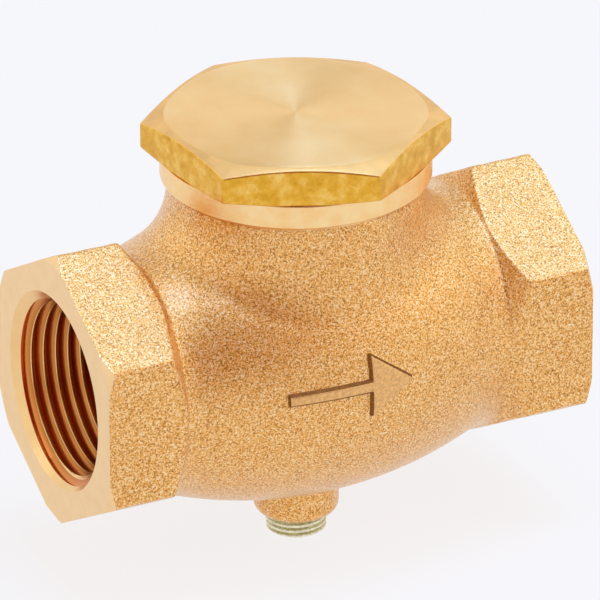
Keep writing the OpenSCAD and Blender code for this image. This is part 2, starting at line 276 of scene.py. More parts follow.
def from_axis(tree, keep):
    """Distance in metres from the axis that keep leaves out, such as (0, 1, 1) for the run.
    The cap's axis lies at the valve's middle."""
    place = node(tree, "ShaderNodeTexCoord").outputs["Object"]
    place = node(tree, "ShaderNodeMapping", {"Vector": place,
                 "Location": (-RUN_MID / 1000, 0, 0)}).outputs[0]
    flat = node(tree, "ShaderNodeVectorMath", {0: place, 1: keep}, operation="MULTIPLY")
    length = node(tree, "ShaderNodeVectorMath", {0: flat.outputs[0]}, operation="LENGTH")
    return length.outputs["Value"]


def material(name, colour, roughness, metallic=1.0, build=None, **sockets):
    """A Principled material; build(tree, shader) adds what varies over the surface."""
    made = bpy.data.materials.new(name)
    made.use_nodes = True
    made.diffuse_color = (*colour, 1)
    tree = made.node_tree
    shader = tree.nodes["Principled BSDF"]
    shader.inputs["Base Color"].default_value = (*colour, 1)
    shader.inputs["Roughness"].default_value = roughness
    shader.inputs["Metallic"].default_value = metallic
    for key, value in sockets.items():
        shader.inputs[key.replace("_", " ")].default_value = value
    if build:
        build(tree, shader)
    return made


def cast_grain(tree, shader):
    """Sand-cast skin: grains with dark pits between them, from two noises added half and
    half, over a faint waviness, with a little redder and yellower metal in patches."""
    grain = noise(tree, 0.33, 2.0)
    speck = noise(tree, 0.17, 1.0)
    wave = noise(tree, 4.0, 2.0)
    patch = noise(tree, 9.0, 3.0)
    both = arithmetic(tree, "ADD", arithmetic(tree, "MULTIPLY", grain, 0.5),
                      arithmetic(tree, "MULTIPLY", speck, 0.5))
    speckle = ramp(tree, both, [(0.38, (0.17, 0.05, 0.002)), (0.45, (0.71, 0.30, 0.030)),
                                (0.52, (1.0, 0.515, 0.088)), (0.61, (1.0, 0.92, 0.64))])
    tint = ramp(tree, patch, [(0.35, (0.88, 0.42, 0.08)), (0.65, (1.0, 0.54, 0.13))])
    tree.links.new(blend(tree, 0.2, speckle, tint), shader.inputs["Base Color"])
    tree.links.new(levels(tree, speck, 0.3, 0.7, 0.40, 0.56), shader.inputs["Roughness"])
    low = bump(tree, wave, 0.3, 0.6)
    tree.links.new(bump(tree, both, 0.16, 0.6, low), shader.inputs["Normal"])


def turned_rings(axis_keep, spacing_mm, depth_mm, mottle=0.3):
    """Tool marks of a lathe: rings round an axis, sin(2 pi distance / spacing), a little
    uneven, with a faint change of colour."""
    def build(tree, shader):
        away = from_axis(tree, axis_keep)
        uneven = arithmetic(tree, "MULTIPLY", noise(tree, 3.0), 0.00012)
        phase = arithmetic(tree, "MULTIPLY", arithmetic(tree, "ADD", away, uneven),
                           2 * math.pi * 1000 / spacing_mm)
        rings = arithmetic(tree, "SINE", phase)
        colour = tuple(shader.inputs["Base Color"].default_value)[:3]
        darker = tuple(c * k for c, k in zip(colour, (0.86, 0.8, 0.7)))
        patch = levels(tree, noise(tree, 2.5, 3.0), 0.35, 0.7, 0.0, mottle)
        tree.links.new(blend(tree, patch, colour, darker), shader.inputs["Base Color"])
        low = bump(tree, noise(tree, 0.5), 0.03, 0.5)
        tree.links.new(bump(tree, rings, depth_mm, 0.6, low), shader.inputs["Normal"])
    return build


def collar_marks(tree, shader):
    """Fine feed lines round the collar, and soft stains."""
    lines = noise(tree, 0.25, 1.0, (0.02, 0.02, 1.0))
    stain = noise(tree, 3.0, 3.0)
    colour = ramp(tree, stain, [(0.3, (0.98, 0.60, 0.24)), (0.7, (1.0, 0.73, 0.36))])
    tree.links.new(colour, shader.inputs["Base Color"])
    low = bump(tree, noise(tree, 0.4), 0.03, 0.6)
    tree.links.new(bump(tree, lines, 0.03, 0.6, low), shader.inputs["Normal"])


def thread_painted_light(tree, shader):
    """Cut thread with painted light: a painted highlight at the crests and painted shade down the
    flanks, lighter again at the roots to offset their rendered shadow, by how far a point lies
    outside the tapered crests, whose radius grows by 1 in 32 towards the mouth."""
    place = node(tree, "ShaderNodeTexCoord").outputs["Object"]
    along = node(tree, "ShaderNodeSeparateXYZ", {0: place}).outputs["X"]
    from_mid = arithmetic(tree, "ABSOLUTE", arithmetic(tree, "SUBTRACT", along, RUN_MID / 1000))
    crest = arithmetic(tree, "ADD", arithmetic(tree, "MULTIPLY", from_mid, TAPER),
                       (PORT_MINOR - PORT_START * TAPER) / 1000)
    below = arithmetic(tree, "SUBTRACT", from_axis(tree, (0, 1, 1)), crest)
    # Painted light: the bright crest stop is a painted highlight, the brown stops down the flanks
    # are painted shade, and the lighter root stop offsets the roots' rendered shadow
    colour = ramp(tree, levels(tree, below, 0.0, PORT_DEPTH / 1000, 0.0, 1.0), [
        (0.0, (0.97, 0.64, 0.24)), (0.07, (0.50, 0.18, 0.04)), (1.0, (0.90, 0.32, 0.08))])
    tree.links.new(colour, shader.inputs["Base Color"])
    tree.links.new(bump(tree, noise(tree, 0.6), 0.01, 0.5), shader.inputs["Normal"])


def cap_marks(tree, shader):
    """Turned top of the cap: rings, under broad soft stains."""
    turned_rings((1, 1, 0), 0.35, 0.006)(tree, shader)
    colour = ramp(tree, noise(tree, 12.0, 4.0), [
        (0.33, (0.93, 0.60, 0.24)), (0.5, (0.97, 0.65, 0.285)), (0.67, (1.0, 0.70, 0.335))])
    tree.links.new(colour, shader.inputs["Base Color"])


def facet_marks(tree, shader):
    """Drawn bar on the cap's flats: soft mottling and a few stretched marks."""
    cloud = noise(tree, 2.2, 3.0)
    fleck = noise(tree, 0.5, 2.0)
    colour = ramp(tree, cloud, [(0.3, (0.70, 0.35, 0.025)), (0.5, (0.84, 0.45, 0.05)),
                                (0.72, (0.96, 0.62, 0.15))])
    tree.links.new(blend(tree, levels(tree, fleck, 0.55, 0.75, 0.0, 0.35), colour,
                         (0.42, 0.21, 0.03)), shader.inputs["Base Color"])
    low = bump(tree, cloud, 0.12, 0.4)
    tree.links.new(bump(tree, fleck, 0.03, 0.5, low), shader.inputs["Normal"])


def soft_grain(size_mm, depth_mm, spread=0.12):
    """Plain grain: noise in the bump, and a little lighter and darker colour."""
    def build(tree, shader):
        colour = tuple(shader.inputs["Base Color"].default_value)[:3]
        grain = noise(tree, size_mm, 3.0)
        dark = tuple(c * (1 - spread) for c in colour)
        light = tuple(min(1, c * (1 + spread)) for c in colour)
        tree.links.new(ramp(tree, grain, [(0.3, dark), (0.7, light)]),
                       shader.inputs["Base Color"])
        tree.links.new(bump(tree, grain, depth_mm, 0.6), shader.inputs["Normal"])
    return build


CAST, FACE, THREAD, COLLAR, INSIDE, ARROW_PAINTED_SHADE, WORN, CREST = range(8)
body_finishes = [
    material("cast_brass_skin", (0.72, 0.41, 0.155), 0.5, Coat_Weight=0.85, Coat_Roughness=0.3,
             build=cast_grain),
    material("faced_brass", (0.97, 0.67, 0.35), 0.34, build=turned_rings((0, 1, 1), 0.28, 0.01)),
    material("cut_thread_brass", (0.7, 0.34, 0.09), 0.3, build=thread_painted_light),
    material("turned_collar_brass", (0.82, 0.56, 0.29), 0.3, build=collar_marks),
    material("cast_brass_inside", (0.55, 0.32, 0.12), 0.5, build=soft_grain(0.5, 0.15, 0.25)),
    # Painted shade for the slopes round the raised arrow
    material("cast_brass_painted_shade", (0.30, 0.12, 0.03), 0.6, build=soft_grain(0.3, 0.1, 0.4)),
    material("rubbed_cast_brass", (0.82, 0.48, 0.19), 0.42, build=soft_grain(0.45, 0.12, 0.2)),
    # On the port threads this lighter finish paints the bright crest lines, a painted highlight;
    # on the countersinks it is turned brass
    material("turned_edge_brass_and_crest_highlight", (0.92, 0.61, 0.28), 0.28,
             build=turned_rings((0, 1, 1), 0.3, 0.004)),
]
CAP_FACE, CAP_SIDE, CAP_BEVEL = range(3)
cap_finishes = [
    material("turned_cap_brass", (0.87, 0.595, 0.245), 0.34, Anisotropic=0.85,
             Anisotropic_Rotation=0.25, build=cap_marks),
    material("cap_flat_brass", (0.70, 0.40, 0.07), 0.3, build=facet_marks),
    material("cap_bevel_brass", (0.90, 0.56, 0.21), 0.5, build=soft_grain(4.0, 0.03, 0.1)),
]
zinc = material("zinc_plated_steel", (0.88, 0.81, 0.60), 0.42, build=soft_grain(0.5, 0.08, 0.25))
poppet_brass = material("poppet_brass", (0.74, 0.48, 0.2), 0.28,
                        build=turned_rings((1, 1, 0), 0.3, 0.006))
fibre = material("gasket_fibre", (0.17, 0.042, 0.022), 0.85, 0.0, soft_grain(0.3, 0.08, 0.3))
ptfe = material("ptfe_disc", (0.86, 0.85, 0.81), 0.4, 0.0, soft_grain(1.5, 0.02, 0.03))
spring_steel = material("spring_wire", (0.48, 0.49, 0.51), 0.25, build=soft_grain(0.3, 0.02))


# The casting

def rolled(a, b, cosine, radius):
    """Union of two distances with a fillet: a ball of this radius rolls in the corner between
    two surfaces whose normals have this cosine. With p = radius - a and q = radius - b, the
    ball's centre is sqrt((p^2 - 2 c p q + q^2) / (1 - c^2)) away."""
    p, q = radius - a, radius - b
    near = (p - cosine * q > 0) & (q - cosine * p > 0)
    away = np.sqrt(np.maximum((p * p - 2 * cosine * p * q + q * q) / (1 - cosine ** 2), 0))
    return np.where(near, radius - away, np.minimum(a, b))


def hexagon(y, z):
    """Distance to the hexagonal ends' rounded flats: to an inner hexagon with a corner at the
    top, less the rounding."""
    flat = HEX_FLAT - HEX_ROUND
    turn = np.arctan2(y, z)
    turn = np.mod(turn, np.pi / 3) - np.pi / 6
    radius = np.hypot(y, z)
    out, along = radius * np.cos(turn), np.abs(radius * np.sin(turn))
    past = np.maximum(along - flat * math.tan(math.pi / 6), 0)
    over = out - flat
    corner = np.hypot(np.maximum(over, 0), past) + np.minimum(over, 0)
    return np.where(past > 0, corner, over) - HEX_ROUND


def face_chamfer(x, rho):
    """Distance to the lathe's cone round each end's face, at 30 degrees to the face."""
    return 0.5 * (rho - FACE_CUT_R) + 0.866 * (np.abs(x) - HALF_LEN)


def back_chamfer(x, rho):
    """Distance to the lathe's cone at each hexagon's back, which goes through a circle and
    whose normal is (0.5855, -0.8107) in radius and distance along the run."""
    return 0.5855 * (rho - BACK_CUT_R) - 0.8107 * (np.abs(x) - BACK_CUT_X)


def uneven_flats(x, y, z):
    """How far the cast flats lie inwards, up to 0.14 mm: 0.07 (1 + sin a sin b) of two slow
    slanting waves, which die out before the hexagon's back and before its turned face."""
    within = np.clip((np.abs(x) - 25) / 4, 0, 1) * np.clip((43.6 - np.abs(x)) / 1.5, 0, 1)
    return 0.07 * within * (1 + np.sin(0.62 * x + 0.31 * z) * np.sin(0.83 * x - 0.27 * y + 1.0))


def casting_field(points, inset=0.0):
    """Signed distance-like field of the cast skin, negative in the metal: a globe with a long
    crown, the neck on it with a rolling-ball fillet that is wider at the front and the back,
    and at each end a straight hub, then the hexagon with a cone at its back and a chamfer at
    its face. The inset moves the whole skin inwards."""
    x, y, z = points[..., 0], points[..., 1], points[..., 2]
    rho, radius = np.hypot(y, z), np.hypot(x, y)
    crown = np.hypot(x, rho - CROWN_IN)
    globe = crown - CROWN_R
    safe_rho, safe_radius = np.maximum(rho, 1e-6), np.maximum(radius, 1e-6)
    cosine = (x * x + (rho - CROWN_IN) * y * y / safe_rho) / (crown * safe_radius)
    cosine = np.clip(cosine, -0.9, 0.97)
    roll = NECK_ROLL + (NECK_ROLL_FRONT - NECK_ROLL) * (y / safe_radius) ** 2
    neck = np.where(z > 6, radius - NECK_R, NOWHERE)
    joined = rolled(globe, neck, cosine, roll)
    flats = -hexagon(y, z) - uneven_flats(x, y, z)
    end = -rolled(flats, -back_chamfer(x, rho), 0.5, BACK_ROUND)
    end = np.maximum(end, face_chamfer(x, rho))
    hub = np.maximum(rho - HUB_R, np.abs(x) - HUB_TO)
    hub = np.where(np.abs(x) > HUB_FROM, hub, NOWHERE)
    joined = rolled(joined, hub, HUB_COSINE, HUB_ROLL)
    joined = rolled(joined, end, END_COSINE, END_ROLL)
    return np.maximum(joined, z - NECK_END) + inset


def reach(start, step, far, inset):
    """How far each ray goes from start along step before it leaves the metal, by halving."""
    near, far = np.zeros(step.shape[:-1]), np.full(step.shape[:-1], float(far))
    for _ in range(34):
        middle = (near + far) / 2
        inside = casting_field(start + middle[..., None] * step, inset) < 0
        near, far = np.where(inside, middle, near), np.where(inside, far, middle)
    return near


def warped_turn(sectors, per_sector, gather):
    """Angles round a hexagon that gather at its corners: u - gather sin(2 pi u) / 2 pi."""
    u = np.arange(sectors * per_sector) / per_sector
    return (u - gather * np.sin(2 * np.pi * u) / (2 * np.pi)) * 2 * np.pi / sectors


def skin(turn, middle_rows, end_x, inset=0.0):
    """Rows of points round the run: in the ends each row lies in a plane across the run, and
    in the middle each row's points lie on rays from the valve's middle, whose angle to the
    run goes from the last plane of one end to the first plane of the other."""
    out = np.stack([np.zeros_like(turn), np.sin(turn), np.cos(turn)], -1)
    end_x = np.asarray(end_x, float)
    start = np.zeros((len(end_x), len(turn), 3))
    start[..., 0] = end_x[:, None]
    step = np.broadcast_to(out, start.shape)
    ends = start + reach(start, step, 40, inset)[..., None] * step
    first = np.arctan2(np.linalg.norm(ends[0, :, 1:], axis=-1), end_x[0])
    share = np.linspace(0, 1, middle_rows + 2)[1:-1, None]
    angle = first + (np.pi - 2 * first) * share
    step = np.cos(angle)[..., None] * (1, 0, 0) + np.sin(angle)[..., None] * out
    middle = reach(np.zeros_like(step), step, 60, inset)[..., None] * step
    mirrored = ends * (-1, 1, 1)
    return np.concatenate([ends[::-1], middle, mirrored])


def distance_to_outline(x, y, corners):
    """Signed distance to a closed outline: the nearest point of any edge, negative where a
    ray to the right crosses an odd number of edges."""
    corners = np.asarray(corners, float)
    nearest, inside = np.full(x.shape, 1e9), np.zeros(x.shape, bool)
    for (ax, ay), (bx, by) in zip(corners, np.roll(corners, -1, axis=0)):
        ex, ey = bx - ax, by - ay
        t = np.clip(((x - ax) * ex + (y - ay) * ey) / (ex * ex + ey * ey), 0, 1)
        nearest = np.minimum(nearest, np.hypot(x - ax - t * ex, y - ay - t * ey))
        crosses = (ay > y) != (by > y)
        at = ax + (y - ay) / (ey if ey else 1.0) * ex
        inside ^= crosses & (x < at)
    return np.where(inside, -nearest, nearest)


def flow_arrow():
    """Raised arrow on the front of the globe. Over a patch of the globe, the height over the
    skin falls from raised, inside the arrow's outline, to sunk under the skin outside it,
    along (1 - s)^2 (1 + 2s) of the distance to the outline."""
    raised, sunk, shift, bend_r = 0.7, 0.35, 2.4, 26.0
    along = np.linspace(-12.6, 12.6, 169)
    around = np.linspace(-7.0, 7.0, 95)
    s, h = np.meshgrid(along, around, indexing="ij")
    outline = [(-10.9, -0.8), (3.4, -0.8), (3.4, -5.2), (10.6, 0), (3.4, 5.2), (3.4, 0.8),
               (-10.9, 0.8)]
    edge = distance_to_outline(s, h, outline) - 0.35
    share = np.clip((edge + 0.55) / 1.0, 0, 1)
    height = -sunk + (sunk + raised) * (1 - share) ** 2 * (1 + 2 * share)
    x, lift = s - shift, math.radians(5.5) + h / bend_r
    slope = np.arcsin(x / CROWN_R)

    def at(over_skin):
        rho = CROWN_IN + (CROWN_R + over_skin) * np.cos(slope)
        return np.stack([(CROWN_R + over_skin) * np.sin(slope), -rho * np.cos(lift),
                         rho * np.sin(lift)], -1)
    top, bottom = at(height), at(np.full_like(height, -1.4))
    rows, columns = s.shape
    index = np.arange(rows * columns).reshape(rows, columns)
    sheet = np.stack([index[:-1, :-1], index[1:, :-1], index[1:, 1:], index[:-1, 1:]], -1)
    sheet = sheet.reshape(-1, 4)
    rim = np.concatenate([index[:-1, 0], index[-1, :-1], index[:0:-1, -1], index[0, :0:-1]])
    after = np.roll(rim, -1)
    under = rows * columns
    walls = np.stack([rim, after, after + under, rim + under], -1)
    points = np.concatenate([top.reshape(-1, 3), bottom.reshape(-1, 3)])
    faces = np.concatenate([sheet[:, ::-1], sheet + under, walls])
    finish = np.full(len(faces), WORN)
    # The arrow's slopes get the dark finish, painted shade along the relief's edges
    finish[:len(sheet)][edge.ravel()[sheet].mean(1) > -0.34] = ARROW_PAINTED_SHADE
    return piece("flow_arrow", points, (faces,), body_finishes, finish)


def boss():
    """Boss under the globe: a ring of the fillet, whose section is the arc of a ball between
    the globe and the boss, then the boss's side and its rounded foot."""
    turn = np.linspace(0, 2 * np.pi, 96, endpoint=False)
    ball, sink = 2.0, 0.05
    out = np.stack([np.cos(turn), np.sin(turn), 0 * turn], -1)
    x, y = (BOSS_R + ball) * np.cos(turn), (BOSS_R + ball) * np.sin(turn)
    rho = CROWN_IN + np.sqrt((CROWN_R + ball - sink) ** 2 - x * x)
    centre = np.stack([x, y, -np.sqrt(rho ** 2 - y ** 2)], -1)
    out_of_crown = rho - CROWN_IN
    to_globe = -np.stack([x, out_of_crown * y / rho, out_of_crown * centre[:, 2] / rho], -1)
    to_globe /= np.linalg.norm(to_globe, axis=-1, keepdims=True)
    opening = np.arccos(np.einsum("ij,ij->i", to_globe, -out))[:, None]
    rows = [np.stack([out[:, 0] * 4, out[:, 1] * 4, np.full_like(turn, -18.0)], -1),
            centre + to_globe * (ball + 2.5)]
    for share in np.linspace(0, 1, 9):
        rows.append(centre + ball * (np.sin((1 - share) * opening) * to_globe
                                     - np.sin(share * opening) * out) / np.sin(opening))
    for k in np.linspace(0, 1, 9):
        a = k * math.pi / 2
        ring = (BOSS_R - BOSS_ROUND + BOSS_ROUND * math.cos(a)) * out
        rows.append(ring + (0, 0, -(BOSS_FOOT - BOSS_ROUND) - BOSS_ROUND * math.sin(a)))
    points, faces = closed_grid(np.stack(rows))
    return piece("boss", points, faces, body_finishes)


def thread_solid(name, radius_at, pitch, stops, turns, columns, start, finishes, row_finish):
    """Closed solid under a helical thread along X. Its rows stand at the stops of each pitch,
    each column lies a little further along X than the one before, and after a whole turn the
    last column meets the first one a pitch further on. Fans close both ends."""
    per_turn = len(stops)
    shares = np.concatenate([np.asarray(stops, float) + k for k in range(turns)])
    turn = np.arange(columns) / columns
    x = start + pitch * (shares[:, None] + turn)
    radius = radius_at(np.mod(shares, 1)[:, None] + 0 * turn, x)
    angle = 2 * np.pi * turn
    grid = np.stack([x, radius * np.cos(angle), radius * np.sin(angle)], -1)
    rows = len(shares)
    index = np.arange(rows * columns).reshape(rows, columns)
    cells = np.stack([index[:-1, :-1], index[:-1, 1:], index[1:, 1:], index[1:, :-1]], -1)
    seam = np.stack([index[:rows - 1 - per_turn, -1], index[per_turn:rows - 1, 0],
                     index[per_turn + 1:, 0], index[1:rows - per_turn, -1]], -1)
    low = np.concatenate([index[0], index[per_turn:0:-1, 0]])
    high = np.concatenate([index[-1], index[rows - 1 - per_turn:rows - 1, -1][::-1]])
    ends = rows * columns + np.arange(2)
    points = np.concatenate([grid.reshape(-1, 3), [[x.min(), 0, 0], [x.max(), 0, 0]]])
    fan_low = np.stack([np.roll(low, -1), low, np.full(len(low), ends[0])], -1)
    fan_high = np.stack([high, np.roll(high, -1), np.full(len(high), ends[1])], -1)
    quads = np.concatenate([cells.reshape(-1, 4), seam])
    tris = np.concatenate([fan_low, fan_high])
    bands = np.resize(row_finish, rows - 1)
    finish = np.concatenate([np.repeat(bands, columns - 1), bands[:len(seam)],
                             np.full(len(tris), bands[0])])
    return piece(name, points, (quads, tris), finishes, finish)


def cad_body_copy():
    """A merged copy of the frame's body, to take the passages and the seat from."""
    mesh = nodes["valve_body"].data.copy()
    shell = bmesh.new()
    shell.from_mesh(mesh)
    bmesh.ops.remove_doubles(shell, verts=shell.verts, dist=2e-6)
    bmesh.ops.recalc_face_normals(shell, faces=shell.faces)
    for face in shell.faces:
        face.material_index = INSIDE
    shell.to_mesh(mesh)
    shell.free()
    mesh.materials.clear()
    for finish in body_finishes:
        mesh.materials.append(finish)
    copy = bpy.data.objects.new("cad_body_copy", mesh)
    bpy.context.scene.collection.objects.link(copy)
    return copy


def port_cutter(side):
    """Tapered pipe thread of one port: crest and root flats with straight flanks, both
    drawing in by 1 in 32 of the depth, and a countersink of 45 degrees at the mouth."""
    thread_len, runout, mouth_in, mouth_out = 16.2, 1.5, 2.95, 1.2

    def radius_at(share, x):
        depth_in = PORT_START - x
        rise = np.interp(share, [0, 0.08, 0.47, 0.53, 0.92, 1.0], [0, 0, 1, 1, 0, 0])
        fade = np.clip((thread_len - depth_in) / runout, 0, 1)
        return PORT_MINOR - np.maximum(depth_in, 0) * TAPER + PORT_DEPTH * rise * fade
    # The CREST rows take the lighter finish, a painted highlight along the thread's crests
    cutter = thread_solid("port_thread", radius_at, PORT_PITCH, [0, 0.08, 0.47, 0.53, 0.92],
                          10, 96, PORT_END - 2.5, body_finishes,
                          [CREST, THREAD, THREAD, THREAD, CREST])
    mouth = lathe("mouth", [(MOUTH_R - mouth_in, HALF_LEN - mouth_in),
                            (MOUTH_R + mouth_out, HALF_LEN + mouth_out)],
                  160, body_finishes, "X", row_finish=[CREST])
    if side < 0:
        for cut in (cutter, mouth):
            move_points(cut, lambda spots: (2 * RUN_MID / 1000, 0, 0) + spots * (-1, -1, 1))
    return cutter, mouth


def casting():
    """The body: the cast skin with its collar, arrow and boss, less the passages and holes.
    The passages are what the frame's own body leaves of the space within the skin."""
    turn = warped_turn(6, 56, 0.72)
    end_x = np.concatenate([np.linspace(27.6, 33.4, 25), [35, 37.5, 40, 42.4],
                            np.linspace(43.1, HALF_LEN, 8)])
    grid = skin(turn, 148, end_x)
    points, faces = closed_grid(grid)
    face_finish = np.full(len(faces[0]) + len(faces[1]), CAST)
    face_finish[len(faces[0]):] = FACE
    middle = points[faces[0]].mean(1)
    chamfer = face_chamfer(middle[:, 0], np.hypot(middle[:, 1], middle[:, 2]))
    face_finish[:len(faces[0])][chamfer > -0.12] = FACE
    body = piece("casting", points, faces, body_finishes, face_finish)
    collar = lathe("collar", [
        (0.5, 29.7), (20.9, 29.7), (COLLAR_R - 0.06, COLLAR_FOOT - 0.11), (COLLAR_R, COLLAR_FOOT),
        (COLLAR_R, COLLAR_TOP - 0.12), (COLLAR_R - 0.04, COLLAR_TOP - 0.03),
        (COLLAR_R - 0.12, COLLAR_TOP), (0.5, COLLAR_TOP)],
        192, body_finishes, row_finish=[COLLAR] * 7)
    body = combine(body, "UNION", collar, flow_arrow(), boss())
    inner_turn = warped_turn(6, 16, 0.3)
    inner, inner_faces = closed_grid(skin(inner_turn, 70, [PORT_END], 1.0))
    inside = piece("inside", inner, inner_faces, body_finishes,
                   np.full(len(inner_faces[0]) + len(inner_faces[1]), INSIDE))
    inside = combine(inside, "DIFFERENCE", cad_body_copy())
    neck_bore, tapped, tapped_to, drilled = CAP_THREAD_R + 0.02, PLUG_R + 0.01, 25.3, 3.42
    cap_bore = lathe("cap_bore", [
        (0.5, 29), (neck_bore, 29), (neck_bore, GASKET_FOOT), (GASKET_R, GASKET_FOOT),
        (GASKET_R, 36), (0.5, 36)], 144, body_finishes, row_finish=[THREAD] * 5)
    plug_bore = lathe("plug_bore", [
        (0.5, -33), (5.7, -33), (5.7, -BOSS_FOOT), (tapped, -BOSS_FOOT + 0.5),
        (tapped, -tapped_to), (drilled, -tapped_to), (drilled, -24), (0.5, -24)],
        96, body_finishes, row_finish=[THREAD] * 7)
    body = combine(body, "DIFFERENCE", inside, *port_cutter(1), *port_cutter(-1),
                   cap_bore, plug_bore)
    shade(body, 24)
    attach(body, "root")
    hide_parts("valve_body")


# Cap, plug and spring

def screw_cap():
    """Hexagonal screw cap: for each angle a closed profile in (radius, height), whose head
    reaches the hexagon at that angle, half flat / cos angle, with its top and bottom edges on
    the lathe's two cones. The profile's corners are softened by the cuts."""
    turn = warped_turn(6, 44, 0.7)
    flat_top_r, top_slope, under_slope, under_edge_up, corner_off = 21.0, 0.343, 0.19, 0.12, 0.05
    undercut_r, skirt_foot, pocket_r, guide_r, guide_foot = 17.4, 24.6, 14.2, 6.2, 25.0
    bore_r, bore_top = 4.05, 38.2
    steps = 4
    local = np.mod(turn, np.pi / 3) - np.pi / 6
    hexagon_r = np.minimum(CAP_FLAT / np.cos(local),
                           CAP_FLAT / math.cos(math.pi / 6) - corner_off)
    top_edge = CAP_TOP - top_slope * (hexagon_r - flat_top_r)
    under_edge = (COLLAR_TOP + np.maximum(under_slope * (hexagon_r - COLLAR_R), 0)
                  + under_edge_up)
    ones = np.ones_like(turn)

    def ring(radius, height):
        return np.stack([radius * ones, height * ones], -1)
    profile = np.stack([
        ring(0.4, CAP_TOP), ring(7, CAP_TOP), ring(14, CAP_TOP), ring(flat_top_r, CAP_TOP),
        ring(hexagon_r, top_edge), ring(hexagon_r, under_edge),
        ring(np.minimum(COLLAR_R, hexagon_r - 0.15), COLLAR_TOP), ring(undercut_r, COLLAR_TOP),
        ring(undercut_r, 34.0), ring(CAP_THREAD_R, 33.4), ring(CAP_THREAD_R, skirt_foot + 1),
        ring(CAP_THREAD_R - 1, skirt_foot), ring(pocket_r, skirt_foot),
        ring(pocket_r, SPRING_POCKET_TOP), ring(guide_r, SPRING_POCKET_TOP),
        ring(guide_r, guide_foot), ring(bore_r, guide_foot), ring(bore_r, bore_top),
        ring(0.4, bore_top)], axis=1)
    cuts = np.array([0.1, 0.1, 1.6, 0.4, 0.25, 0.1, 0.1, 0.1, 0.15, 0.2, 0.2, 0.2, 0.3, 0.3,
                     0.3, 0.3, 0.3])
    profile = soften(profile, cuts, steps)
    radius, height = profile[..., 0].T, profile[..., 1].T
    angle = turn + CAP_TURN
    grid = np.stack([radius * np.cos(angle), radius * np.sin(angle), height], -1)
    points, faces = closed_grid(grid)
    rows = np.arange(len(grid) - 1)

    def corner_row(corner):
        """First row of the curve at one of the profile's inner corners, from 0."""
        return 1 + corner * (steps + 1)
    bevel, side, under = corner_row(2) + 3, corner_row(3) + 2, corner_row(5)
    band = np.where((rows >= side) & (rows <= under), CAP_SIDE, CAP_FACE)
    band[(rows >= bevel) & (rows < side)] = CAP_BEVEL
    face_finish = np.concatenate([np.repeat(band, len(turn)), np.full(2 * len(turn), CAP_FACE)])
    cap = piece("screw_cap", points, faces, cap_finishes, face_finish)
    shade(cap, 30)
    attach(cap, "root")
    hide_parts("bonnet_cap")


def pipe_plug():
    """Pipe plug: a helix of 27 threads to the inch, cut to length with chamfers, with a
    hexagonal socket. It is made along X and then stood upright in the boss."""
    root_r, thread_depth, start, foot_cut, top_cut = 4.55, 0.54, -2.48, 0.3, 0.6

    def radius_at(share, x):
        rise = np.interp(share, [0, 0.08, 0.3, 0.72, 0.94, 1.0], [0, 0, 1, 1, 0, 0])
        return root_r + thread_depth * rise
    rod = thread_solid("pipe_plug", radius_at, PLUG_PITCH, [0, 0.08, 0.3, 0.72, 0.94], 13, 72,
                       start, [zinc], [0])
    blank = lathe("blank", [
        (0.3, 0), (PLUG_R - foot_cut, 0), (PLUG_R, foot_cut), (PLUG_R, PLUG_LEN - top_cut),
        (PLUG_R - top_cut, PLUG_LEN), (0.3, PLUG_LEN)], 96, [zinc], "X")
    rod = combine(rod, "INTERSECT", blank)
    corner = SOCKET_FLAT / math.cos(math.pi / 6)
    socket = lathe("socket", [(corner, -1), (corner, 4)], 6, [zinc], "X")
    mouth = lathe("socket_mouth", [(corner + 0.9, -0.6), (corner - 0.5, 0.8)], 48, [zinc], "X")
    rod = combine(rod, "DIFFERENCE", socket, mouth)

    def upright(spots):
        along, across, up = (spots * 1000 - (RUN_MID, 0, 0)).T
        return in_row_frame(np.stack([-up, across, along - BOSS_FOOT - PLUG_OUT], -1))
    move_points(rod, upright)
    shade(rod, 30)
    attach(rod, "root")
    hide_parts("port_plug")


def poppet_spring():
    """Return spring: a round wire along a helix. Its height grows by 1.12 wires in the first
    and the last turn, and evenly in the turns between them."""
    turns, wire, coil, bottom, height = 6.5, 1.3, 7.65, 15.55, 19.4
    turn = np.linspace(0, turns, 390)
    closed = 1.12 * wire
    opened = (height - wire - 2 * closed) / (turns - 2)
    rise = (bottom + wire / 2 + closed * np.minimum(turn, 1)
            + opened * np.clip(turn - 1, 0, turns - 2)
            + closed * np.maximum(turn - turns + 1, 0))
    around = np.linspace(0, 2 * np.pi, 16, endpoint=False)
    radius = coil + wire / 2 * np.cos(around)
    angle = (2 * np.pi * turn)[:, None]
    grid = np.stack([radius * np.cos(angle), radius * np.sin(angle),
                     rise[:, None] + wire / 2 * np.sin(around)], -1)
    points, faces = closed_grid(grid)
    spring = piece("poppet_spring", points, faces, [spring_steel])
    shade(spring, 50)
    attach(spring, "root")
    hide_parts("return_spring")
    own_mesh(spring)


def dress(name, finish):
    """Gives a node of the frame its material."""
    nodes[name].data.materials.clear()
    nodes[name].data.materials.append(finish)


# Studio

def outward(turn, rise):
    """Direction from the valve to a place that lies round to the right of its front by turn,
    and up by rise."""
    return Vector((math.sin(turn) * math.cos(rise), -math.cos(turn) * math.cos(rise),
                   math.sin(rise)))


def soft_lamp(name, azimuth, elevation, distance, size, watts, colour=(1, 1, 1)):
    """Square softbox that faces the valve from a direction, and that the camera can't see."""
    back = outward(math.radians(azimuth), math.radians(elevation))
    data = bpy.data.lights.new(name, "AREA")
    data.shape, data.size, data.energy, data.color = "SQUARE", size, watts, colour
    lamp = bpy.data.objects.new(name, data)
    lamp.location = Vector((RUN_MID / 1000, 0, 0)) + back * distance
    lamp.rotation_mode = "QUATERNION"
    lamp.rotation_quaternion = back.to_track_quat("Z", "Y")
    lamp.visible_camera = False
    bpy.context.scene.collection.objects.link(lamp)


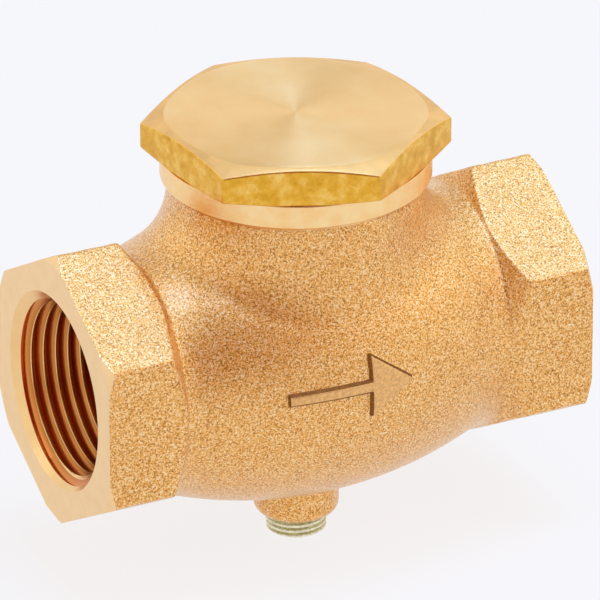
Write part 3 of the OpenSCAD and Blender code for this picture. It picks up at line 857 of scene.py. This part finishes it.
def seen_directly(tree):
    """1 for camera, glossy and transmission rays, and 0 for the light that falls on things."""
    path = node(tree, "ShaderNodeLightPath")
    either = arithmetic(tree, "MAXIMUM", path.outputs["Is Camera Ray"],
                        path.outputs["Is Glossy Ray"])
    return arithmetic(tree, "MAXIMUM", either, path.outputs["Is Transmission Ray"])


def studio():
    """White room with a dark corner for the metal to mirror, pale floor and soft lamps."""
    scene = bpy.context.scene
    scene.view_settings.view_transform = "Standard"
    world = bpy.data.worlds.new("studio_world")
    scene.world = world
    world.use_nodes = True
    tree = world.node_tree
    sky = tree.nodes["Background"]

    def towards(direction, low, high):
        """How far a mirrored direction lies inside a cone: 0 at cosine low, and 1 at high."""
        cosine = node(tree, "ShaderNodeVectorMath", {
            0: node(tree, "ShaderNodeTexCoord").outputs["Generated"], 1: direction},
            operation="DOT_PRODUCT").outputs["Value"]
        return arithmetic(tree, "MULTIPLY", levels(tree, cosine, low, high, 0.0, 1.0),
                          node(tree, "ShaderNodeLightPath").outputs["Is Glossy Ray"])
    # Metal mirrors a dark warm corner beside the camera, and a ceiling and a back wall that
    # are dimmer than the side walls
    tree.links.new(blend(tree, towards((-0.2, -0.77, 0.6), 0.72, 0.93), (1.0, 1.0, 1.0),
                         (0.32, 0.06, 0.01)), sky.inputs["Color"])
    ceiling = arithmetic(tree, "MULTIPLY", towards((0, 0, 1), 0.55, 0.85), 0.34)
    wall = arithmetic(tree, "MULTIPLY", towards((0.2, 0.87, 0.45), 0.72, 0.95), 0.1)
    ceiling = arithmetic(tree, "MAXIMUM", ceiling, wall)
    seen = node(tree, "ShaderNodeMix", {"Factor": seen_directly(tree), "A": 0.45,
                "B": arithmetic(tree, "SUBTRACT", 1.0, ceiling)}, data_type="FLOAT")
    tree.links.new(seen.outputs[0], sky.inputs["Strength"])
    floor_mesh = bpy.data.meshes.new("floor")
    low, wide = -0.0352, 3  # metres, with the floor just under the plug's foot
    floor_mesh.from_pydata([(-wide, -wide, low), (wide, -wide, low), (wide, wide, low),
                            (-wide, wide, low)], [], [(0, 1, 2, 3)])
    floor = bpy.data.objects.new("floor", floor_mesh)
    scene.collection.objects.link(floor)
    paper = bpy.data.materials.new("floor_paper")
    paper.use_nodes = True
    tree = paper.node_tree
    tree.nodes.clear()
    matte = node(tree, "ShaderNodeBsdfDiffuse", {"Color": (0.165, 0.158, 0.155, 1)})
    glow = node(tree, "ShaderNodeEmission", {"Color": (1, 0.99, 1, 1),
                "Strength": levels(tree, seen_directly(tree), 0, 1, 0.0, 0.81)})
    both = node(tree, "ShaderNodeAddShader", {0: matte.outputs[0], 1: glow.outputs[0]})
    node(tree, "ShaderNodeOutputMaterial", {"Surface": both.outputs[0]})
    floor_mesh.materials.append(paper)
    soft_lamp("key", 72, 74, 1.2, 0.9, 3.1, (0.48, 0.95, 1.75))
    soft_lamp("top", 5, 84, 1.2, 0.4, 2.1, (0.68, 0.95, 1.7))
    soft_lamp("front", -60, 40, 0.7, 0.4, 0.15)
    soft_lamp("right", 38, 42, 0.7, 0.4, 0.5)
    soft_lamp("left", -120, 30, 0.7, 0.35, 0.1)


def photo_camera():
    """Long lens at the photograph's angle, aimed a little above the valve's middle."""
    right = Vector((math.cos(CAMERA_TURN), math.sin(CAMERA_TURN), 0))
    back = outward(CAMERA_TURN, CAMERA_RISE)
    up = back.cross(right)
    data = bpy.data.cameras.new("camera")
    data.sensor_width, data.lens = 36, 554.2
    data.clip_start, data.clip_end = 0.1, 20
    camera = bpy.data.objects.new("camera", data)
    aim = Vector((RUN_MID / 1000, 0, 0)) + right * AIM_RIGHT + up * AIM_UP
    camera.location = aim + back * CAMERA_AWAY
    camera.rotation_mode = "QUATERNION"
    camera.rotation_quaternion = back.to_track_quat("Z", "Y")
    bpy.context.scene.collection.objects.link(camera)
    bpy.context.scene.camera = camera


photo_camera()
casting()
screw_cap()
pipe_plug()
poppet_spring()
for name in ("disc_holder", "disc_washer", "disc_nut"):
    dress(name, poppet_brass)
dress("seat_disc", ptfe)
dress("cap_gasket", fibre)
studio()
